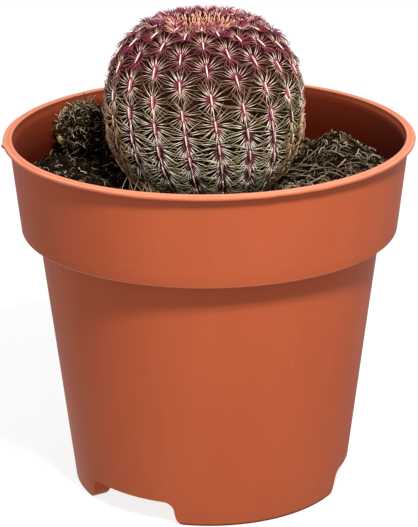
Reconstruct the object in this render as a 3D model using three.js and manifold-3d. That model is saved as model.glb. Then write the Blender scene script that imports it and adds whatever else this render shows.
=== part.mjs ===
// A small round rainbow hedgehog cactus in its terracotta-coloured plastic nursery pot.
// Millimetres, +Z up. The origin is the middle of the pot's foot ring, on the surface it stands on.
// Directions round the pot are in degrees from the front (-Y), growing towards the right (+X).
import * as THREE from 'three';
import { mergeVertices } from 'three/addons/utils/BufferGeometryUtils.js';
import Module from 'manifold-3d';

const wasm = await Module();
wasm.setup();
const { Manifold } = wasm;

// Pot, one thin moulding: a tapered body, a wider band round its top and a lip
const POT_HEIGHT = 94;
const WALL = 1.2;
const LIP_RADIUS = 52.5;
const LIP_HEIGHT = 1.2;
const LIP_WIDTH = 2.3;
const LIP_ROUNDING = 0.5;
const BAND_TOP_RADIUS = 51;
const BAND_BOTTOM_RADIUS = 48.4;
const BAND_BOTTOM = 69.3;
const BAND_ROUNDING = 1;
const BODY_TOP_RADIUS = 44.2;
const FOOT_RADIUS = 36;
const FOOT_ROUNDING = 0.5;
const POT_SIDES = 48;
const HIDDEN_SIDES = 24; // of what lies inside the feet or under the soil

// Underside: the floor is raised on three hollow feet with a notch between each two
const FLOOR_UNDERSIDE = 6.3;
const FOOT_INNER_RADIUS = 29.5;
const NOTCH_DIRECTIONS = [-36, 84, 204];
const NOTCH_WIDTH = 27;
const NOTCH_CORNER = 2.2;
const DRAIN_DIAMETER = 8;
const DRAIN_RING_RADIUS = 20;

// Potting soil and the loose clump of peat on it
const FIT = 0.3;
const SOIL_LEVEL = 80.9;
const SOIL_RINGS = 7;
const UNDER_CACTUS_RINGS = 4; // of them, left smooth
const MOUNDS = [
  { x: 32.5, y: 15, height: 7.6, spread: 7 },
  { x: 40, y: -4, height: 2.2, spread: 9 },
  { x: -36, y: 1, height: 2.6, spread: 8 },
  { x: -20, y: 34, height: 1.6, spread: 8 },
  { x: 22, y: 40, height: -2.6, spread: 9 },
];
const SOIL_ROUGHNESS = 0.55;
const CLUMP = { x: -33.3, y: 24, z: 88.3, radius: 7.2, roughness: 0.7 };

// Cactus: an ellipse, squarer at its shoulders, turned round its own axis, with low ribs that lean
const CACTUS_X = -1.1;
const BODY_MIDDLE = 100.2;
const BODY_RADIUS = 24.5;
const BODY_HALF_HEIGHT = 23.8;
const SHOULDER_SQUARENESS = 2.55; // of the upper half; 2 would be round
const BASE_SQUARENESS = 2.16;
const CROWN_DIP = { depth: 1.4, width: 8 };
const RIBS = 20;
const RIB_DEPTH = 1.3;
const RIB_LEAN = 0.34; // degrees for each millimetre down the rib
const FIRST_RIB_DIRECTION = -6.1; // at the crown
const SIDES_PER_RIB = 4;
const BODY_ROWS = 13;
const BARE_BASE_ARC = 63; // below this the ribs fade into the base that stands in the soil
const ROOT = { top: 6.5, bottom: 2.2, level: 62 };

// Areoles: their spacing along a rib grows from the crown and closes up again below
const AREOLE_REACH = 75;
const AREOLE_SCALE = 7.83;
const AREOLE_POWER = 1.46;
const AREOLE_SHIFT = 0.4; // of a spacing, from each rib to the next
const FIRST_AREOLE_ARC = 8.5;
const LAST_AREOLE_ARC = 58;

// Spines, three-sided, at their real length
const SPINE_LENGTH = 6.2;
const SPINE_RADIUS = 0.33;
const SPINE_SINK = 0.65;
const SPINE_LIFT = 10; // degrees off the body's surface, sideways
const SPINE_LIFT_ALONG_RIB = 8; // added to it up and down the rib
const SPINE_LIFT_AT_CROWN = 20; // added to it next to the crown
const LIFTED_ARC = 24; // the spines lie flat past this
const FAN = [52, 118, 242, 308]; // degrees round the areole from straight up
const CROWN_SPINES = 54;
const CROWN_RADIUS = 9.5;
const CROWN_SPINE_LENGTH = 3.7;
const CROWN_SPINE_RADIUS = 0.4;
const CROWN_SPINE_SINK = 1.3;
const SOIL_CLEARANCE = 0.9;

const radians = THREE.MathUtils.degToRad;
const smoothstep = THREE.MathUtils.smoothstep;
const UP = new THREE.Vector3(0, 1, 0);

// Seeded, so that every build draws the same numbers
function makeRandom(seed) {
  let state = seed;
  return () => {
    state = (state + 0x6d2b79f5) | 0;
    let mixed = Math.imul(state ^ (state >>> 15), 1 | state);
    mixed = (mixed + Math.imul(mixed ^ (mixed >>> 7), 61 | mixed)) ^ mixed;
    return ((mixed ^ (mixed >>> 14)) >>> 0) / 2 ** 32;
  };
}

function spread(random, amount) {
  return (random() * 2 - 1) * amount;
}

// Solids
function toSolid(geometry) {
  const bare = geometry.clone();
  bare.deleteAttribute('normal');
  bare.deleteAttribute('uv');
  const merged = mergeVertices(bare, 1e-3);
  const corners = [];
  for (let i = 0; i < merged.index.count; i += 3) {
    const [a, b, c] = merged.index.array.slice(i, i + 3);
    if (a !== b && b !== c && c !== a) corners.push(a, b, c);
  }
  const vertProperties = merged.attributes.position.array;
  return new Manifold(new wasm.Mesh({ numProp: 3, vertProperties, triVerts: new Uint32Array(corners) }));
}

function toGeometry(solid) {
  const { vertProperties, triVerts } = solid.simplify(0.01).getMesh();
  const geometry = new THREE.BufferGeometry();
  geometry.setAttribute('position', new THREE.BufferAttribute(vertProperties, 3));
  geometry.setIndex(new THREE.BufferAttribute(triVerts, 1));
  geometry.computeVertexNormals();
  return geometry;
}

// A profile of [radius, height] pairs from the axis at the bottom to the axis at the top, turned round Z
function turned(profile, sides = POT_SIDES) {
  const points = profile.map(([r, z]) => new THREE.Vector2(r, z));
  return new THREE.LatheGeometry(points, sides).rotateX(Math.PI / 2);
}

// Points on an arc in a profile, in degrees from +radius towards +height
function arc(r, z, radius, from, to, steps = 3) {
  return Array.from({ length: steps + 1 }, (_, i) => {
    const angle = radians(from + ((to - from) * i) / steps);
    return [r + radius * Math.cos(angle), z + radius * Math.sin(angle)];
  });
}

// Pot
const bodyTaper = (BODY_TOP_RADIUS - FOOT_RADIUS) / BAND_BOTTOM;
const bandTaper = (BAND_TOP_RADIUS - BAND_BOTTOM_RADIUS) / (POT_HEIGHT - BAND_BOTTOM);
const floorTop = FLOOR_UNDERSIDE + WALL;
const ledgeTop = BAND_BOTTOM + WALL;
const lipBottom = POT_HEIGHT - LIP_HEIGHT;

function bodyRadius(z) {
  return FOOT_RADIUS + bodyTaper * z;
}

function bandRadius(z) {
  return BAND_BOTTOM_RADIUS + bandTaper * (z - BAND_BOTTOM);
}

// Inner face of the wall, moved inwards by a gap
function cavityRadius(z, gap = 0) {
  return (z > ledgeTop + gap ? bandRadius(z) : bodyRadius(z)) - WALL - gap;
}

function potOutside() {
  return turned([
    [0, 0],
    ...arc(FOOT_RADIUS - FOOT_ROUNDING, FOOT_ROUNDING, FOOT_ROUNDING, -90, 0, 1),
    ...arc(BODY_TOP_RADIUS + BAND_ROUNDING, BAND_BOTTOM - BAND_ROUNDING, BAND_ROUNDING, 180, 90, 2),
    ...arc(BAND_BOTTOM_RADIUS - BAND_ROUNDING, BAND_BOTTOM + BAND_ROUNDING, BAND_ROUNDING, -90, 0, 2),
    [bandRadius(lipBottom), lipBottom],
    ...arc(LIP_RADIUS - LIP_ROUNDING, lipBottom + LIP_ROUNDING, LIP_ROUNDING, -90, 0, 1),
    ...arc(LIP_RADIUS - LIP_ROUNDING, POT_HEIGHT - LIP_ROUNDING, LIP_ROUNDING, 0, 90, 2),
    [0, POT_HEIGHT],
  ]);
}

function potCavity() {
  const lipInner = LIP_RADIUS - LIP_WIDTH;
  return turned([
    [0, floorTop],
    ...arc(cavityRadius(floorTop + WALL) - WALL, floorTop + WALL, WALL, -90, 0, 2),
    [cavityRadius(ledgeTop - WALL), ledgeTop - WALL],
    [cavityRadius(ledgeTop - WALL) + WALL, ledgeTop],
    [cavityRadius(ledgeTop + 0.01), ledgeTop],
    [cavityRadius(lipBottom - WALL), lipBottom - WALL],
    [lipInner, lipBottom],
    [lipInner, POT_HEIGHT - LIP_ROUNDING / 2],
    [lipInner + LIP_ROUNDING / 2, POT_HEIGHT],
    [lipInner + LIP_ROUNDING / 2, POT_HEIGHT + 1],
    [0, POT_HEIGHT + 1],
  ]);
}

// A cutter for the notch between two feet: its outline is bent round the pot and runs out radially.
// Its top corners are filled and its bottom corners are eased, as the moulded feet are.
function notchCutter(direction, grow = 0) {
  const half = NOTCH_WIDTH / 2 + grow;
  const top = FLOOR_UNDERSIDE;
  const low = -1;
  const outline = new THREE.Shape();
  outline.moveTo(-half - NOTCH_CORNER, low);
  outline.lineTo(half + NOTCH_CORNER, low);
  outline.lineTo(half + NOTCH_CORNER, 0);
  outline.absarc(half + NOTCH_CORNER, NOTCH_CORNER, NOTCH_CORNER, -Math.PI / 2, -Math.PI, true);
  outline.absarc(half - NOTCH_CORNER, top - NOTCH_CORNER, NOTCH_CORNER, 0, Math.PI / 2, false);
  outline.absarc(-half + NOTCH_CORNER, top - NOTCH_CORNER, NOTCH_CORNER, Math.PI / 2, Math.PI, false);
  outline.absarc(-half - NOTCH_CORNER, NOTCH_CORNER, NOTCH_CORNER, 0, -Math.PI / 2, true);
  const from = FOOT_INNER_RADIUS - 3;
  const depth = LIP_RADIUS - from;
  const cutter = new THREE.ExtrudeGeometry(outline, { depth, bevelEnabled: false, curveSegments: 3 });
  const place = cutter.attributes.position;
  for (let i = 0; i < place.count; i++) {
    const angle = radians(direction) + place.getX(i) / FOOT_RADIUS;
    const radius = from + place.getZ(i);
    place.setXYZ(i, radius * Math.sin(angle), -radius * Math.cos(angle), place.getY(i));
  }
  return toSolid(cutter);
}

// The troughs inside the hollow feet: a ring with the notches and their end walls left out
function troughs() {
  const ring = turned([
    [FOOT_INNER_RADIUS + WALL, WALL],
    [bodyRadius(WALL) - WALL, WALL],
    [bodyRadius(floorTop) - WALL, floorTop],
    [bodyRadius(floorTop) - WALL, floorTop + 1],
    [FOOT_INNER_RADIUS + WALL, floorTop + 1],
    [FOOT_INNER_RADIUS + WALL, WALL],
  ], HIDDEN_SIDES);
  const ends = NOTCH_DIRECTIONS.map((direction) => notchCutter(direction, WALL).translate(0, 0, WALL));
  return Manifold.difference([toSolid(ring), ...ends]);
}

function drainCutter(x, y) {
  const hole = new THREE.CylinderGeometry(DRAIN_DIAMETER / 2, DRAIN_DIAMETER / 2, 4 * WALL, 12);
  return toSolid(hole.rotateX(Math.PI / 2).translate(x, y, FLOOR_UNDERSIDE + WALL / 2));
}

function drainCutters() {
  const round = NOTCH_DIRECTIONS.map((direction) => {
    const angle = radians(direction);
    return drainCutter(DRAIN_RING_RADIUS * Math.sin(angle), -DRAIN_RING_RADIUS * Math.cos(angle));
  });
  return [drainCutter(0, 0), ...round];
}

function makePot() {
  const depth = 2 * FLOOR_UNDERSIDE;
  const recess = new THREE.CylinderGeometry(FOOT_INNER_RADIUS, FOOT_INNER_RADIUS, depth, POT_SIDES);
  const underside = [
    toSolid(recess.rotateX(Math.PI / 2)),
    ...NOTCH_DIRECTIONS.map((direction) => notchCutter(direction)),
  ];
  return Manifold.difference([
    toSolid(potOutside()),
    toSolid(potCavity()),
    troughs(),
    Manifold.union(underside),
    ...drainCutters(),
  ]);
}

// Soil
function soilLevel(x, y) {
  const heights = MOUNDS.map((mound) => {
    const away = (x - mound.x) ** 2 + (y - mound.y) ** 2;
    return mound.height * Math.exp(-away / (2 * mound.spread ** 2));
  });
  return SOIL_LEVEL + heights.reduce((sum, height) => sum + height, 0);
}

// The profile's top runs from the wall to the axis in rings, which are then lifted to the soil's level
function makeSoilMass() {
  const random = makeRandom(7);
  const below = [
    [0, floorTop + FIT],
    [cavityRadius(floorTop + 2 * WALL, FIT) - WALL, floorTop + FIT],
    [cavityRadius(floorTop + 2 * WALL, FIT), floorTop + 2 * WALL],
    [cavityRadius(ledgeTop - WALL, FIT), ledgeTop - WALL + FIT],
    [cavityRadius(ledgeTop - WALL, FIT) + WALL, ledgeTop + FIT],
    [cavityRadius(ledgeTop + 1, FIT), ledgeTop + FIT],
  ];
  const edge = cavityRadius(SOIL_LEVEL, FIT);
  const rings = Array.from({ length: SOIL_RINGS + 1 }, (_, i) => [edge * (1 - i / SOIL_RINGS), SOIL_LEVEL]);
  const mass = turned([...below, ...rings]);
  const place = mass.attributes.position;
  const perSide = below.length + rings.length;
  for (let i = 0; i < place.count; i++) {
    const ring = (i % perSide) - below.length;
    const side = Math.floor(i / perSide);
    if (ring < 0 || side === POT_SIDES) continue;
    const x = place.getX(i);
    const y = place.getY(i);
    const smooth = ring === 0 || ring > SOIL_RINGS - UNDER_CACTUS_RINGS;
    const rough = smooth ? 0 : spread(random, SOIL_ROUGHNESS);
    const z = soilLevel(x, y) + rough;
    const reach = ring === 0 ? cavityRadius(z, FIT) / edge : 1;
    place.setXYZ(i, x * reach, y * reach, z);
    const last = POT_SIDES * perSide + (i % perSide);
    if (side === 0) place.setXYZ(last, x * reach, y * reach, z);
  }
  return toSolid(mass);
}

function makeClump(grow = 0) {
  const random = makeRandom(11);
  const lump = new THREE.IcosahedronGeometry(CLUMP.radius, 3);
  lump.deleteAttribute('normal');
  lump.deleteAttribute('uv');
  const round = mergeVertices(lump, 1e-3);
  const place = round.attributes.position;
  const point = new THREE.Vector3();
  for (let i = 0; i < place.count; i++) {
    point.fromBufferAttribute(place, i);
    point.setLength(CLUMP.radius + spread(random, CLUMP.roughness) - CLUMP.roughness / 2 + grow);
    place.setXYZ(i, point.x, point.y, point.z);
  }
  return toSolid(round.translate(CLUMP.x, CLUMP.y, CLUMP.z));
}

// Cactus
const OUTLINE_STEPS = 360;

// The crown is a little sunken where the youngest spines stand
function crownDip(r) {
  return CROWN_DIP.depth * Math.exp(-((r / CROWN_DIP.width) ** 2));
}

// The body's outline from the crown to its underside, with the arc length down to each point
function bodyOutline() {
  const outline = [{ arc: 0, r: 0, z: BODY_MIDDLE + BODY_HALF_HEIGHT - CROWN_DIP.depth }];
  for (let i = 1; i <= OUTLINE_STEPS; i++) {
    const angle = Math.PI * (0.5 - i / OUTLINE_STEPS);
    const power = 2 / (angle > 0 ? SHOULDER_SQUARENESS : BASE_SQUARENESS);
    const r = BODY_RADIUS * Math.max(0, Math.cos(angle)) ** power;
    const dip = angle > 0 ? crownDip(r) : 0;
    const z = BODY_MIDDLE + BODY_HALF_HEIGHT * Math.sign(angle) * Math.abs(Math.sin(angle)) ** power - dip;
    const last = outline[i - 1];
    outline.push({ arc: last.arc + Math.hypot(r - last.r, z - last.z), r, z });
  }
  return outline;
}

const outline = bodyOutline();

function outlineAt(arcLength) {
  const next = Math.max(1, outline.findIndex((point) => point.arc >= arcLength));
  const [a, b] = [outline[next - 1], outline[next]];
  const share = (arcLength - a.arc) / (b.arc - a.arc);
  return { r: a.r + (b.r - a.r) * share, z: a.z + (b.z - a.z) * share };
}

function ribDirection(rib, arcLength) {
  return FIRST_RIB_DIRECTION + (360 / RIBS) * rib + RIB_LEAN * arcLength;
}

function cactusPoint(direction, r, z) {
  const angle = radians(direction);
  return new THREE.Vector3(CACTUS_X + r * Math.sin(angle), -r * Math.cos(angle), z);
}

// Each side of the turned body is moved in to its place between a rib's crest and the furrow beside it
function makeBody() {
  const arcs = Array.from({ length: BODY_ROWS + 1 }, (_, i) => BARE_BASE_ARC * (1 - i / BODY_ROWS));
  const sides = RIBS * SIDES_PER_RIB;
  const rows = [
    { r: 0, z: ROOT.level, ribbed: 0, arc: BARE_BASE_ARC },
    { r: ROOT.bottom, z: ROOT.level, ribbed: 0, arc: BARE_BASE_ARC },
    { r: ROOT.top, z: BODY_MIDDLE - BODY_HALF_HEIGHT + 1, ribbed: 0, arc: BARE_BASE_ARC },
    ...arcs.map((a) => ({
      ...outlineAt(a),
      ribbed: smoothstep(a, 1, 9) * (1 - smoothstep(a, LAST_AREOLE_ARC - 4, BARE_BASE_ARC)),
      arc: a,
    })),
  ];
  const body = turned(rows.map(({ r, z }) => [r, z]), sides);
  const place = body.attributes.position;
  for (let i = 0; i < place.count; i++) {
    const { r, z, ribbed, arc: down } = rows[i % rows.length];
    const side = Math.floor(i / rows.length) % sides;
    const furrow = (1 - Math.cos((2 * Math.PI * side) / SIDES_PER_RIB)) / 2;
    const direction = ribDirection(side / SIDES_PER_RIB, down);
    const point = cactusPoint(direction, r - RIB_DEPTH * ribbed * furrow ** 0.8, z);
    place.setXYZ(i, point.x, point.y, point.z);
  }
  return toSolid(body);
}

function needle(root, along, length, radius) {
  const cone = new THREE.ConeGeometry(radius, length, 3).translate(0, length / 2, 0);
  cone.applyQuaternion(new THREE.Quaternion().setFromUnitVectors(UP, along));
  return toSolid(cone.translate(root.x, root.y, root.z));
}

function areoleArc(order) {
  return AREOLE_REACH * (1 - Math.exp(-((order / AREOLE_SCALE) ** AREOLE_POWER)));
}

// Arc lengths of a rib's areoles, from the crown down to the soil
function areoleArcs(rib) {
  const arcs = [];
  for (let order = (rib * AREOLE_SHIFT) % 1; areoleArc(order) < LAST_AREOLE_ARC; order++) {
    if (areoleArc(order) > FIRST_AREOLE_ARC) arcs.push(areoleArc(order));
  }
  return arcs;
}

// Up along the rib, across it and out of the body at a place on its crest
function areoleFrame(direction, arcLength) {
  const { r, z } = outlineAt(arcLength);
  const root = cactusPoint(direction, r, z);
  const above = outlineAt(arcLength - 0.5);
  const up = cactusPoint(direction - RIB_LEAN * 0.5, above.r, above.z).sub(root).normalize();
  const across = cactusPoint(direction + 0.5, r, z).sub(root).normalize();
  const out = new THREE.Vector3().crossVectors(up, across).negate().normalize();
  return { root, up, across, out };
}

function areoleNeedles(rib, arcLength, random) {
  const { root, up, across, out } = areoleFrame(ribDirection(rib, arcLength), arcLength);
  const needles = [];
  const young = SPINE_LIFT_AT_CROWN * (1 - smoothstep(arcLength, FIRST_AREOLE_ARC, LIFTED_ARC));
  for (const degrees of FAN) {
    const turn = radians(degrees + spread(random, 14));
    const lengthwise = SPINE_LIFT_ALONG_RIB * Math.cos(turn) ** 2;
    const lift = radians(SPINE_LIFT + young + lengthwise + spread(random, 3));
    const along = new THREE.Vector3()
      .addScaledVector(up, Math.cos(turn) * Math.cos(lift))
      .addScaledVector(across, Math.sin(turn) * Math.cos(lift))
      .addScaledVector(out, Math.sin(lift));
    const length = SPINE_LENGTH * (1 + spread(random, 0.1));
    const tip = root.clone().addScaledVector(along, length);
    if (tip.z < soilLevel(tip.x, tip.y) + SOIL_CLEARANCE) continue;
    const sunk = root.clone().addScaledVector(out, -SPINE_SINK);
    needles.push(needle(sunk, along, length, SPINE_RADIUS));
  }
  return needles;
}

// Young spines stand up in a tuft on the crown, leaning out more towards its edge
function crownNeedles(random) {
  return Array.from({ length: CROWN_SPINES }, (_, i) => {
    const arcLength = CROWN_RADIUS * Math.sqrt((i + 0.5) / CROWN_SPINES);
    const { root, up, across, out } = areoleFrame(i * 137.5, arcLength);
    const along = out.clone().addScaledVector(up, spread(random, 0.35) - 0.2);
    along.addScaledVector(across, spread(random, 0.35)).normalize();
    const length = CROWN_SPINE_LENGTH * (1 + spread(random, 0.2));
    return needle(root.addScaledVector(out, -CROWN_SPINE_SINK), along, length, CROWN_SPINE_RADIUS);
  });
}

function makeCactus() {
  const random = makeRandom(3);
  const needles = crownNeedles(random);
  for (let rib = 0; rib < RIBS; rib++) {
    for (const arcLength of areoleArcs(rib)) needles.push(...areoleNeedles(rib, arcLength, random));
  }
  return Manifold.union([makeBody(), ...needles]);
}

// The plain hole that the cactus stands in: its buried outline, a fit larger all round
function cactusHole() {
  const bottom = BODY_MIDDLE - BODY_HALF_HEIGHT;
  const buried = [72, 67, 62, 57].map((a) => outlineAt(a));
  const hole = turned([
    [0, ROOT.level - FIT],
    [ROOT.bottom + FIT, ROOT.level - FIT],
    [ROOT.top + FIT, bottom + 1 - 2 * FIT],
    ...buried.filter(({ r }) => r > ROOT.top + 1).map(({ r, z }) => [r + 2 * FIT, z - FIT]),
    [BODY_RADIUS, POT_HEIGHT],
    [0, POT_HEIGHT],
  ], HIDDEN_SIDES);
  return toSolid(hole.translate(CACTUS_X, 0, 0));
}

function makeSoil() {
  return Manifold.difference([makeSoilMass(), cactusHole(), makeClump(FIT)]);
}

// Materials
function plain(color, roughness) {
  return new THREE.MeshStandardMaterial({ color, roughness, metalness: 0 });
}

function piece(name, solid, material) {
  const mesh = new THREE.Mesh(toGeometry(solid), material);
  mesh.name = name;
  return mesh;
}

const pottedCactus = new THREE.Group();
pottedCactus.add(
  piece('pot', makePot(), plain('#c4623f', 0.42)),
  piece('potting_soil', makeSoil(), plain('#2e241c', 0.95)),
  piece('peat_clump', makeClump(), plain('#33271d', 0.95)),
  piece('cactus', makeCactus(), plain('#6b6a4c', 0.7)),
);

export default pottedCactus;
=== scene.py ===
import bisect
import functools
import math
import random

import bmesh
import bpy
from bpy.props import FloatProperty, FloatVectorProperty, IntProperty, PointerProperty
from mathutils import Matrix, Vector, noise


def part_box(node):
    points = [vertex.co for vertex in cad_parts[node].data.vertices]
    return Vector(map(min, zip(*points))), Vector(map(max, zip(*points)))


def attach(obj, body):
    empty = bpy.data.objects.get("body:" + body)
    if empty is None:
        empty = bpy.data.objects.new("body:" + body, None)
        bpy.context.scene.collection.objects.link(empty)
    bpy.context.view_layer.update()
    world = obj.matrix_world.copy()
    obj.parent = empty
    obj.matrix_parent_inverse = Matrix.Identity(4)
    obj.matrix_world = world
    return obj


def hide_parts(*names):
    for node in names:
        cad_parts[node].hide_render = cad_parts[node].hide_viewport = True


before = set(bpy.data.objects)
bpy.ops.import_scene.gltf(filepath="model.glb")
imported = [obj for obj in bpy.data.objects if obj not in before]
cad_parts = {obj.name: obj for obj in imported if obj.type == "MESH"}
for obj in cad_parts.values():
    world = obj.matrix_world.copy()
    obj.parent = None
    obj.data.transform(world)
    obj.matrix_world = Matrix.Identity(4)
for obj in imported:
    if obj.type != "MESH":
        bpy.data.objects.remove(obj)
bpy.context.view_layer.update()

bl_info = {
    "name": "Potted round cactus",
    "version": (1, 0, 0),
    "blender": (4, 5, 0),
    "location": "3D View > Sidebar > Cactus",
    "description": "Builds a round hedgehog cactus in its plastic nursery pot, piece by piece",
    "category": "Add Mesh",
}

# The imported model's box, before anything is added
POT_LOW, POT_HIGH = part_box("pot")
CLUMP_LOW, CLUMP_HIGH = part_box("peat_clump")

# Sizes below are in millimetres, as in the part's source. Directions are in degrees from the
# front (-Y), growing towards the right (+X).
MM = 0.001

# Pot, one thin moulding: a tapered body on three hollow feet, a wider band and a lip
POT_HEIGHT = (POT_HIGH[2] - POT_LOW[2]) / MM
WALL = 1.2
LIP_RADIUS = (POT_HIGH[0] - POT_LOW[0]) / 2 / MM
LIP_HEIGHT = 1.2
LIP_WIDTH = 2.3
BAND_TOP_RADIUS = 51
BAND_BOTTOM_RADIUS = 48.4
BAND_BOTTOM = 69.3
BAND_TAPER = (BAND_TOP_RADIUS - BAND_BOTTOM_RADIUS) / (POT_HEIGHT - BAND_BOTTOM)
LEDGE_TOP = BAND_BOTTOM + WALL
BODY_TOP_RADIUS = 44.2
FOOT_RADIUS = 36
FOOT_INNER_RADIUS = 29.5
FOOT_SLANT = 2.6  # how much narrower a foot is at its bottom, on its inner side
FLOOR_UNDERSIDE = 6.3
FLOOR_TOP = FLOOR_UNDERSIDE + WALL
NOTCH_DIRECTIONS = (-36, 84, 204)
NOTCH_WIDTH = 27
NOTCH_CORNER = 2.2
DRAIN_DIAMETER = 8
DRAIN_RING_RADIUS = 20
FLASH_DIRECTION, FLASH_WIDTH, FLASH_DEPTH = -81, 1.3, 0.6  # a nub of moulding flash on the lip
TRUE_HEIGHT = 40  # up to it the wall is truly round

# Soil, with its mounds and hollows as (x, y, height, spread)
FIT = 0.3  # gap between the cactus and the soil
SOIL_GAP = 0.1  # and between the soil and the pot
SOIL_SIDES, SOIL_RINGS = 300, 131
SOIL_LEVEL = 80.9
MOUNDS = (
    (32.5, 15, 7.2, 7),
    (23, 22, -1.6, 5),
    (40, -4, 2.2, 9),
    (-36, 1, 2.6, 8),
    (-20, 34, 1.6, 8),
    (22, 40, -2.6, 9),
)
SOIL_AT_WALL = 84  # height where the higher peat meets the wall
FIBRE_STEPS = 6
FIBRE_SHARES = [i / FIBRE_STEPS for i in range(FIBRE_STEPS + 1)]
FOOT_OF_CACTUS = 15.5  # fibres keep this far from its axis
MOSS_LEAVES = 60

# Cactus: an ellipse, squarer at its shoulders, turned round its own axis, with low ribs that lean
CACTUS_X = -1.1
BODY_MIDDLE = 100.2
BODY_RADIUS = 24.5
BODY_HALF_HEIGHT = 23.8
SHOULDER_SQUARENESS = 2.55
BASE_SQUARENESS = 2.16
CROWN_DIP_DEPTH = 1.4
CROWN_DIP_WIDTH = 8
BODY_ROWS, BODY_COLUMNS = 130, 360
RIBS = 20
RIB_DEPTH = 1.3
RIB_LEAN = 0.34  # degrees for each millimetre down the rib
FIRST_RIB_DIRECTION = -6.1
BARE_BASE_ARC = 63  # below this the ribs fade into the base that stands in the soil
ROOT_TOP, ROOT_BOTTOM, ROOT_LEVEL, ROOT_ROUNDING = 6.5, 2.2, 62, 0.6
TUBERCLE = 0.4  # height of the bump under an areole

# Areoles: their spacing along a rib grows from the crown and closes up again below
AREOLE_REACH = 75
AREOLE_SCALE = 7.83
AREOLE_POWER = 1.46
AREOLE_SHIFT = 0.4  # of a spacing, from each rib to the next
FIRST_AREOLE_ARC = 7.5
LAST_AREOLE_ARC = 60
AREOLE_LENGTH = 3.0
AREOLE_WIDTH = 0.42
FIRST_LINKED_ARC = 36  # past it a strip of felt joins the areoles of a rib
CUSHION_WIDTH = 1.2
SPINE_PIECES = (("spines_upper", 0, 27), ("spines_middle", 27, 42), ("spines_lower", 42, 99))  # by arc
SPINE_STEPS = 5
CROWN_TUFT_ARC = 11.5
YOUNG_SPINE_WIDTH = 0.32
PALE_TUFT_X, PALE_TUFT_Y = -1.5, -2  # middle of the tuft's salmon part, inside its wine-red ring
PALE_TUFT_HALF_WIDTH, PALE_TUFT_HALF_DEPTH = 8.2, 9.5
GOLDEN_ANGLE = 137.508
PAD_RISE = 0.4  # of an areole's pad over its bump
DROOP = 0.55  # how far the old spines sag to the side, for each length

# Widths of strands from one end to the other
PAD_TAPER = (0.7, 1, 1.05, 1, 0.7)
CUSHION_TAPER = (0.55, 1, 1.05, 1.05, 1, 0.55)
SPINE_TAPER = (1.15, 1.0, 0.94, 0.8, 0.56, 0.16)
YOUNG_SPINE_TAPER = (1.1, 0.98, 0.9, 0.78, 0.6, 0.25)

# Soft box: its place seen from a point on the pot's axis, and its side and distances in metres
KEY_DIRECTION, KEY_ELEVATION = 18, 50
KEY_SIZE, KEY_DISTANCE, KEY_AIM_HEIGHT = 0.07, 0.5, 0.08
CAMERA_SHIFT = -0.0012

# The UV map of the strands, and the stretch of a colour ramp that one reads from side to side
STRAND_UV = "OFBake"
TONE_WIDTH = 0.02


def linear(text):
    """Linear colour of an sRGB hex value"""
    channels = [int(text[i:i + 2], 16) / 255 for i in (1, 3, 5)]
    return tuple(c / 12.92 if c <= 0.04045 else ((c + 0.055) / 1.055) ** 2.4 for c in channels) + (1.0,)


def smoothstep(value, low, high):
    share = min(1, max(0, (value - low) / (high - low)))
    return share * share * (3 - 2 * share)


# Forms that several pieces share


def body_radius(z):
    """Outside of the pot's body at a height"""
    return FOOT_RADIUS + (BODY_TOP_RADIUS - FOOT_RADIUS) / BAND_BOTTOM * z


def band_radius(z):
    """Outside of the pot's band at a height"""
    return BAND_BOTTOM_RADIUS + BAND_TAPER * (z - BAND_BOTTOM)


def inner_radius(z):
    """Inside of the pot's wall at a height"""
    return (band_radius(z) if z > LEDGE_TOP else body_radius(z)) - WALL


def round_z(direction, radius):
    """X and Y of a place round the Z axis"""
    angle = math.radians(direction)
    return radius * math.sin(angle), -radius * math.cos(angle)


def soil_level(x, y, level):
    """Height of the soil, without its crumbs"""
    for mound_x, mound_y, height, spread in MOUNDS:
        away = (x - mound_x) ** 2 + (y - mound_y) ** 2
        level += height * math.exp(-away / (2 * spread ** 2))
    return level


def crumbs(x, y, z=0.0):
    """Unevenness of loose peat, about 0 to 1"""
    coarse = noise.noise(Vector((x / 6, y / 6, 3.7 + z / 6)))
    lumps = 1 - noise.voronoi(Vector((x / 2.6, y / 2.6, 1.3 + z / 2.6)))[0][0]
    fine = noise.noise(Vector((x / 0.8, y / 0.8, 8.1 + z / 0.8)))
    return 0.45 * coarse + 0.75 * lumps + 0.22 * fine


def cactus_outline():
    """Points (arc length from the crown, radius, height) down the cactus and its rootstock"""
    steps = 360
    points = [(0.0, 0.0, BODY_MIDDLE + BODY_HALF_HEIGHT - CROWN_DIP_DEPTH)]

    def add(r, z):
        arc, last_r, last_z = points[-1]
        points.append((arc + math.hypot(r - last_r, z - last_z), r, z))

    for i in range(1, steps + 1):
        angle = math.pi * (0.5 - i / steps)
        power = 2 / (SHOULDER_SQUARENESS if angle > 0 else BASE_SQUARENESS)
        r = BODY_RADIUS * max(0.0, math.cos(angle)) ** power
        dip = CROWN_DIP_DEPTH * math.exp(-((r / CROWN_DIP_WIDTH) ** 2)) if angle > 0 else 0
        rise = math.copysign(abs(math.sin(angle)) ** power, angle)
        add(r, BODY_MIDDLE + BODY_HALF_HEIGHT * rise - dip)
        if points[-1][0] > BARE_BASE_ARC:
            break
    add(ROOT_TOP, BODY_MIDDLE - BODY_HALF_HEIGHT + 1)
    add(ROOT_BOTTOM, ROOT_LEVEL + ROOT_ROUNDING)
    add(ROOT_BOTTOM - ROOT_ROUNDING, ROOT_LEVEL)
    add(0.0, ROOT_LEVEL)
    return points


OUTLINE = cactus_outline()
OUTLINE_ARCS = [arc for arc, _, _ in OUTLINE]


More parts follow.
